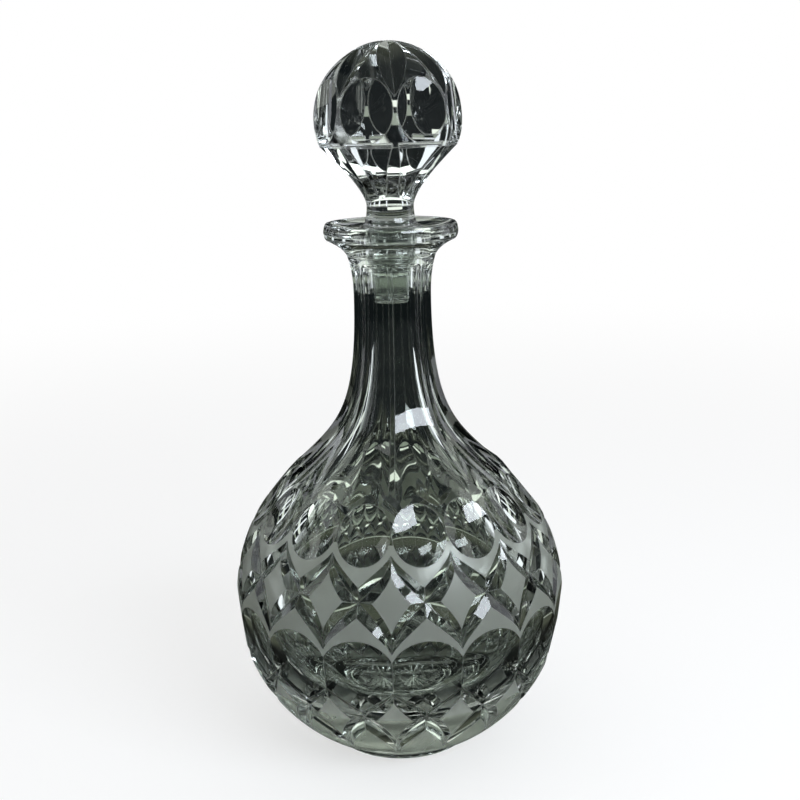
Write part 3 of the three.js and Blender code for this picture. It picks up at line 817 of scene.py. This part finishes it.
satinCrystal = glassMaterial("satinCrystal", satinLook)
polishedCrystal = glassMaterial("polishedCrystal", polishedLook)
starCrystal = glassMaterial("starCrystal", starLook)
deepSatinCrystal = glassMaterial("deepSatinCrystal", deepSatinLook)
rayCrystal = glassMaterial("rayCrystal", rayLook)
stopperCrystal = glassMaterial("stopperCrystal", stopperLook)
sleevePlastic = glassMaterial("sleevePlastic", sleeveLook)

for material in (satinCrystal, polishedCrystal, starCrystal, deepSatinCrystal, rayCrystal):
    cutVessel.data.materials.append(material)
cutStopper.data.materials.append(stopperCrystal)
ribbedSleeve.data.materials.append(sleevePlastic)

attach(cutVessel, "vessel")
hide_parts("decanter_vessel")
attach(cutStopper, "stopper")
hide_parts("glass_stopper")
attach(ribbedSleeve, "sleeve")
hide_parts("stopper_sleeve")
print("materials")

# the studio, in metres and in degrees round from -Y
studio = {
    "floorSize": 12, "floorZ": -0.0006, "floorColor": (0.9, 0.9, 0.9), "floorRoughness": 0.9,
    "floorNear": 0.6, "fadeFrom": 0.2, "fadeTo": 1.1, "worldLight": 0.75,
    "keyEnergy": 7, "keyWidth": 0.64, "keyHeight": 0.26, "keyPlace": (0.44, -0.72, 0.6),
    "keyAim": (0, 0, 0.13), "keyColor": (0.86, 0.93, 1),
    # the dark room that the glass shows: its walls with pale bands (bottom, top, colour)
    "roomRadius": 1.3, "roomHeight": 1.9, "wallColor": (0.009, 0.011, 0.012),
    "bands": ((0.1, 0.19, (0.34, 0.38, 0.32)), (0.38, 0.52, (0.85, 0.9, 0.83)),
              (1, 1.6, (1.7, 1.8, 1.7))),
    # windows (start, end, sill, head) on both sides and behind
    "windows": ((-166, -163, 0.25, 0.9), (-154, -149, 0.25, 0.9), (-140, -137, 0.2, 0.9),
                (-126, -122, 0.03, 0.9), (-108, -84, 0.03, 0.8),
                (84, 108, 0.03, 0.8), (122, 126, 0.03, 0.9), (138, 141, 0.2, 0.9),
                (151, 154, 0.25, 0.9), (165, 167, 0.25, 0.9)),
    "windowColor": (1.15, 1.2, 1.27), "frontSpan": (-80, 80), "frontColor": (0.09, 0.1, 0.1),
    # the table's shades by distance from the axis, darkest under the foot as a painted shadow
    # there, and the glow low round the foot
    "tableZ": -0.0003,
    "tableShades": ((0.03, (0.004, 0.005, 0.005)), (0.11, (0.008, 0.009, 0.009)),
                    (0.16, (0.085, 0.092, 0.068)), (0.26, (0.06, 0.065, 0.05)),
                    (0.4, (0.006, 0.008, 0.009))),
    "lowRadius": 0.25, "lowTop": 0.006, "lowColor": (0.6, 0.65, 0.57),
    # a ring of sky under the ceiling, and a low panel behind the sleeve
    "skyFrom": 0.5, "skyDrop": 0.001, "skyColor": (0.2, 0.22, 0.2),
    "panelSpan": (167, 194), "panelRadius": 1.28, "panelBottom": 0.001, "panelTop": 0.055,
    "panelColor": (1.1, 1.16, 1.05),
}


def seenRays(tree):
    # 1 for camera, glossy and transmission rays, 0 for the rest
    path = addNode(tree, "ShaderNodeLightPath")
    last = path.outputs["Is Camera Ray"]
    for name in ("Is Glossy Ray", "Is Transmission Ray"):
        either = addNode(tree, "ShaderNodeMath", operation="MAXIMUM")
        tree.links.new(last, either.inputs[0])
        tree.links.new(path.outputs[name], either.inputs[1])
        last = either.outputs[0]
    return last


def spread(tree, value, low, high, toLow, toHigh):
    # a value from low to high, spread from toLow to toHigh and held past the ends
    node = addNode(tree, "ShaderNodeMapRange", interpolation_type="SMOOTHSTEP")
    for name, number in (("From Min", low), ("From Max", high), ("To Min", toLow),
                         ("To Max", toHigh)):
        node.inputs[name].default_value = number
    tree.links.new(value, node.inputs["Value"])
    return node.outputs["Result"]


def awayFromAxis(tree):
    place = addNode(tree, "ShaderNodeTexCoord")
    reach = addNode(tree, "ShaderNodeVectorMath", operation="LENGTH")
    tree.links.new(place.outputs["Object"], reach.inputs[0])
    return reach.outputs["Value"]


def glassOnly(card, shades):
    # a card that shows only in and through the glass, in one shade or in several by distance
    material = bpy.data.materials.new(card.name)
    material.use_nodes = True
    tree = material.node_tree
    glow = addNode(tree, "ShaderNodeEmission")
    glow.inputs["Color"].default_value = (*shades[0][1], 1)
    if len(shades) > 1:
        ramp = addNode(tree, "ShaderNodeValToRGB")
        stops = ramp.color_ramp.elements
        for stop, (reach, color) in ((stops[0], shades[0]), (stops[1], shades[-1])):
            stop.position = reach
            stop.color = (*color, 1)
        for reach, color in shades[1:-1]:
            stops.new(reach).color = (*color, 1)
        tree.links.new(awayFromAxis(tree), ramp.inputs["Fac"])
        tree.links.new(ramp.outputs["Color"], glow.inputs["Color"])
    tree.links.new(glow.outputs["Emission"], tree.nodes["Material Output"].inputs["Surface"])
    card.data.materials.append(material)
    card.visible_camera = False
    card.visible_diffuse = False
    card.visible_shadow = False


def turnedCard(name, line, span, steps, color):
    # a card turned about the axis from a line of two [radius, z] places, in metres
    points = [(radius / mm, z / mm) for radius, z in line]
    sweep = math.radians(span[1] - span[0])
    glassOnly(newObject(name, spinLine(points, math.radians(span[0]), sweep, steps)), [(0, color)])


def roundCard(name, z, shades):
    bm = bmesh.new()
    bmesh.ops.create_circle(bm, cap_ends=True, segments=72, radius=studio["roomRadius"])
    bmesh.ops.translate(bm, vec=(0, 0, z), verts=bm.verts)
    glassOnly(newObject(name, bm), shades)


def wallBands(low, high):
    # what a stretch of wall shows: a window, the bands or the front, and dark wall between them
    bands = list(studio["bands"])
    for start, end, sill, head in studio["windows"]:
        if start % 360 <= low and high <= end % 360:
            bands = [(sill, head, studio["windowColor"])] + [b for b in bands if b[0] >= head]
    if high <= studio["frontSpan"][1] or low >= studio["frontSpan"][0] % 360:
        bands = [(0, studio["roomHeight"], studio["frontColor"])]
    ends = [0] + [band[1] for band in bands]
    starts = [band[0] for band in bands] + [studio["roomHeight"]]
    return bands + [(bottom, top, studio["wallColor"])
                    for bottom, top in zip(ends, starts) if top > bottom]


def buildRoom():
    # dark walls, table and ceiling, so the cut glass shows contrast before a white background
    degreesPerStep, wholeSteps, panelSteps = 5, 96, 6
    radius, height = studio["roomRadius"], studio["roomHeight"]
    edges = {0}
    for span in studio["windows"] + (studio["frontSpan"],):
        edges.update(angle % 360 for angle in span[:2])
    edges = sorted(edges) + [360]
    for i, (low, high) in enumerate(zip(edges, edges[1:])):
        steps = max(1, round((high - low) / degreesPerStep))
        for j, (bottom, top, color) in enumerate(wallBands(low, high)):
            turnedCard("wall%d.%d" % (i, j), [(radius, bottom), (radius, top)], (low, high),
                       steps, color)
    low = studio["lowRadius"]
    turnedCard("lowGlow", [(low, 0), (low, studio["lowTop"])], (0, 360), wholeSteps,
               studio["lowColor"])
    panel = studio["panelRadius"]
    turnedCard("lowPanel", [(panel, studio["panelBottom"]), (panel, studio["panelTop"])],
               studio["panelSpan"], panelSteps, studio["panelColor"])
    skyZ = height - studio["skyDrop"]
    turnedCard("sky", [(studio["skyFrom"], skyZ), (radius, skyZ)], (0, 360), wholeSteps,
               studio["skyColor"])
    # the table card is near black under the foot: a painted shadow seen through the glass
    roundCard("table", studio["tableZ"], studio["tableShades"])
    roundCard("ceiling", height, [(0, studio["wallColor"])])


def buildFloor():
    # pale paper that keeps the shadow and shows white towards the back
    bm = bmesh.new()
    bmesh.ops.create_grid(bm, x_segments=1, y_segments=1, size=studio["floorSize"])
    bmesh.ops.translate(bm, vec=(0, 0, studio["floorZ"]), verts=bm.verts)
    floor = newObject("floor", bm)
    paper = bpy.data.materials.new("paper")
    paper.use_nodes = True
    tree = paper.node_tree
    shader = tree.nodes["Principled BSDF"]
    shader.inputs["Base Color"].default_value = (*studio["floorColor"], 1)
    shader.inputs["Roughness"].default_value = studio["floorRoughness"]
    glow = addNode(tree, "ShaderNodeEmission")
    mix = addNode(tree, "ShaderNodeMixShader")
    part = addNode(tree, "ShaderNodeMath", operation="MULTIPLY")
    tree.links.new(seenRays(tree), part.inputs[0])
    fade = spread(tree, awayFromAxis(tree), studio["fadeFrom"], studio["fadeTo"],
                  studio["floorNear"], 1)
    tree.links.new(fade, part.inputs[1])
    tree.links.new(part.outputs[0], mix.inputs["Fac"])
    tree.links.new(shader.outputs["BSDF"], mix.inputs[1])
    tree.links.new(glow.outputs["Emission"], mix.inputs[2])
    tree.links.new(mix.outputs["Shader"], tree.nodes["Material Output"].inputs["Surface"])
    floor.data.materials.append(paper)


def buildLights():
    world = bpy.data.worlds.new("studio")
    world.use_nodes = True
    bpy.context.scene.world = world
    tree = world.node_tree
    background = tree.nodes["Background"]
    background.inputs["Color"].default_value = (1, 1, 1, 1)
    strength = spread(tree, seenRays(tree), 0, 1, studio["worldLight"], 1)
    tree.links.new(strength, background.inputs["Strength"])
    key = bpy.data.lights.new("key", "AREA")
    key.energy = studio["keyEnergy"]
    key.color = studio["keyColor"]
    key.shape = "RECTANGLE"
    key.size = studio["keyWidth"]
    key.size_y = studio["keyHeight"]
    lamp = bpy.data.objects.new("key", key)
    bpy.context.scene.collection.objects.link(lamp)
    lamp.location = studio["keyPlace"]
    aim = Vector(studio["keyAim"]) - lamp.location
    lamp.rotation_euler = aim.to_track_quat("-Z", "Y").to_euler()


buildRoom()
buildFloor()
buildLights()
print("studio")

# the photograph's view: eye height, level distance and turn from the front of the cut pattern
view = {
    "distance": 0.45, "height": 0.2514, "turn": -8.33, "aimHeight": 0.1382, "aimRight": 0.00194,
    "roll": 1.37, "lens": 53.78, "sensor": 36, "clipStart": 0.01,
}


def buildCamera():
    level = outward(math.radians(view["turn"])) * view["distance"]
    eye = level + Vector((0, 0, view["height"]))
    toAxis = Vector((0, 0, view["aimHeight"])) - eye
    right = toAxis.cross(Vector((0, 0, 1))).normalized()
    forward = (toAxis + right * view["aimRight"]).normalized()
    right = forward.cross(Vector((0, 0, 1))).normalized()
    upward = right.cross(forward)
    pose = Matrix((right, upward, -forward)).transposed().to_4x4()
    roll = Matrix.Rotation(-math.radians(view["roll"]), 4, "Z")
    data = bpy.data.cameras.new("camera")
    data.lens = view["lens"]
    data.sensor_width = view["sensor"]
    data.clip_start = view["clipStart"]
    camera = bpy.data.objects.new("camera", data)
    bpy.context.scene.collection.objects.link(camera)
    camera.matrix_world = Matrix.Translation(eye) @ pose @ roll
    bpy.context.scene.camera = camera


buildCamera()
bpy.context.scene.view_settings.view_transform = "Standard"
